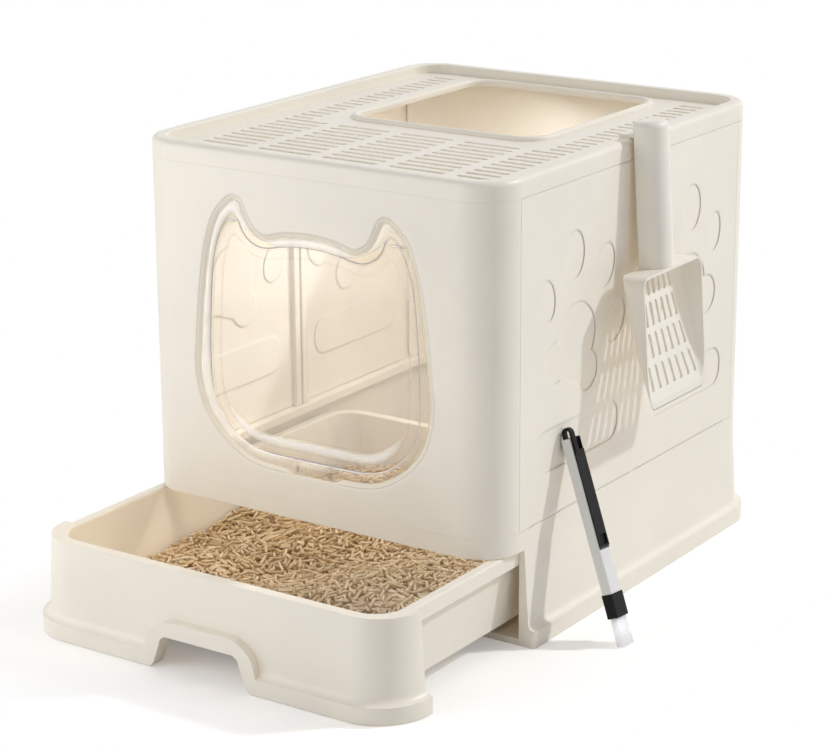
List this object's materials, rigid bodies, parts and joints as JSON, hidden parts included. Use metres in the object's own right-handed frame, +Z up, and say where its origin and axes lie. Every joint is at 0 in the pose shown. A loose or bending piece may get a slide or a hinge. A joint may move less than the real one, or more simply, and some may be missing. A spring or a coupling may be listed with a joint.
{
  "type": "drawer litter box",
  "caption": "Enclosed cat litter box with pull-out tray, folding side walls, clear swing flap in a cat-head window, slotted top cover, hanging scoop and slim brush.",
  "frame": {"origin": "middle of the box footprint on the floor, on the underside of the base", "axes": "+X to the box's right seen from behind the front, +Y to the back, +Z up; the front with the window and the drawer looks along -Y"},
  "size_m": [0.504, 0.689, 0.4683],
  "materials": {
    "shell_plastic": "satin ivory polypropylene",
    "clear_plastic": "clear",
    "steel_pin": "drawn",
    "litter": "pressed pellets",
    "brush_grey": "satin",
    "brush_black": "satin",
    "bristle_white": "nylon filament"
  },
  "bodies": {
    "base": {"base_frame": "shell_plastic"},
    "drawer": {"litter_drawer": "shell_plastic", "litter_bed": "litter"},
    "front_wall": {"front_panel": "shell_plastic", "door_frame": "clear_plastic", "flap_pin_left": "steel_pin", "flap_pin_right": "steel_pin", "hinge_pin_front_right": "steel_pin", "hinge_pin_front_left": "steel_pin"},
    "flap": {"flap_door": "clear_plastic"},
    "latch": {"door_latch": "clear_plastic"},
    "leaf_front_right": {"side_leaf_front_right": "shell_plastic"},
    "leaf_rear_right": {"side_leaf_rear_right": "shell_plastic"},
    "leaf_front_left": {"side_leaf_front_left": "shell_plastic"},
    "leaf_rear_left": {"side_leaf_rear_left": "shell_plastic"},
    "rear_wall": {"rear_panel": "shell_plastic", "hinge_pin_rear_right": "steel_pin", "hinge_pin_rear_left": "steel_pin"},
    "cover": {"top_cover": "shell_plastic"},
    "scoop": {"litter_scoop": "shell_plastic"},
    "brush": {"brush_body": "brush_grey", "brush_ferrule": "brush_black", "brush_bristles": "bristle_white"},
    "dustpan": {"brush_dustpan": "brush_black"}
  },
  "joints": [
    {"name": "drawer_slide", "type": "slide", "parent": "base", "child": "drawer", "axis": [0, -1, 0], "range_m": [-0.167, 0.25]},
    {"name": "enclosure_lift", "type": "slide", "parent": "base", "child": "front_wall", "axis": [0, 0, 1], "range_m": [0, 0.15]},
    {"name": "flap_swing", "type": "hinge", "parent": "front_wall", "child": "flap", "pos_m": [0, -0.2446, 0.38], "axis": [-1, 0, 0], "range_deg": [-60, 60]},
    {"name": "latch_slide", "type": "slide", "parent": "front_wall", "child": "latch", "axis": [0, 0, 1], "range_m": [0, 0.006]},
    {"name": "side_fold", "type": "hinge", "parent": "front_wall", "child": "leaf_front_right", "pos_m": [0.1992, -0.209, 0.273], "axis": [0, 0, 1], "range_deg": [0, 68]},
    {"name": "side_mid_right", "type": "hinge", "parent": "leaf_front_right", "child": "leaf_rear_right", "pos_m": [0.2046, 0, 0.273], "axis": [0, 0, 1], "range_deg": [-136, 0]},
    {"name": "side_rear_right", "type": "hinge", "parent": "leaf_rear_right", "child": "rear_wall", "pos_m": [0.1992, 0.209, 0.273], "axis": [0, 0, 1], "range_deg": [0, 68]},
    {"name": "side_front_left", "type": "hinge", "parent": "front_wall", "child": "leaf_front_left", "pos_m": [-0.1992, -0.209, 0.273], "axis": [0, 0, 1], "range_deg": [-68, 0]},
    {"name": "side_mid_left", "type": "hinge", "parent": "leaf_front_left", "child": "leaf_rear_left", "pos_m": [-0.2046, 0, 0.273], "axis": [0, 0, 1], "range_deg": [0, 136]},
    {"name": "cover_lift", "type": "slide", "parent": "front_wall", "child": "cover", "axis": [0, 0, 1], "range_m": [0, 0.12]},
    {"name": "scoop_lift", "type": "slide", "parent": "cover", "child": "scoop", "axis": [0, 0, 1], "range_m": [0, 0.1]},
    {"name": "brush_lift", "type": "slide", "parent": "base", "child": "brush", "axis": [0, 0, 1], "range_m": [0, 0.1]},
    {"name": "dustpan_slide", "type": "slide", "parent": "brush", "child": "dustpan", "axis": [0.932, 0, 0.3624], "range_m": [0, 0.02]}
  ],
  "couplings": [
    {"joint": "side_mid_right", "follows": "side_fold", "ratio": -2},
    {"joint": "side_rear_right", "follows": "side_fold", "ratio": 1},
    {"joint": "side_front_left", "follows": "side_fold", "ratio": -1},
    {"joint": "side_mid_left", "follows": "side_fold", "ratio": 2}
  ]
}
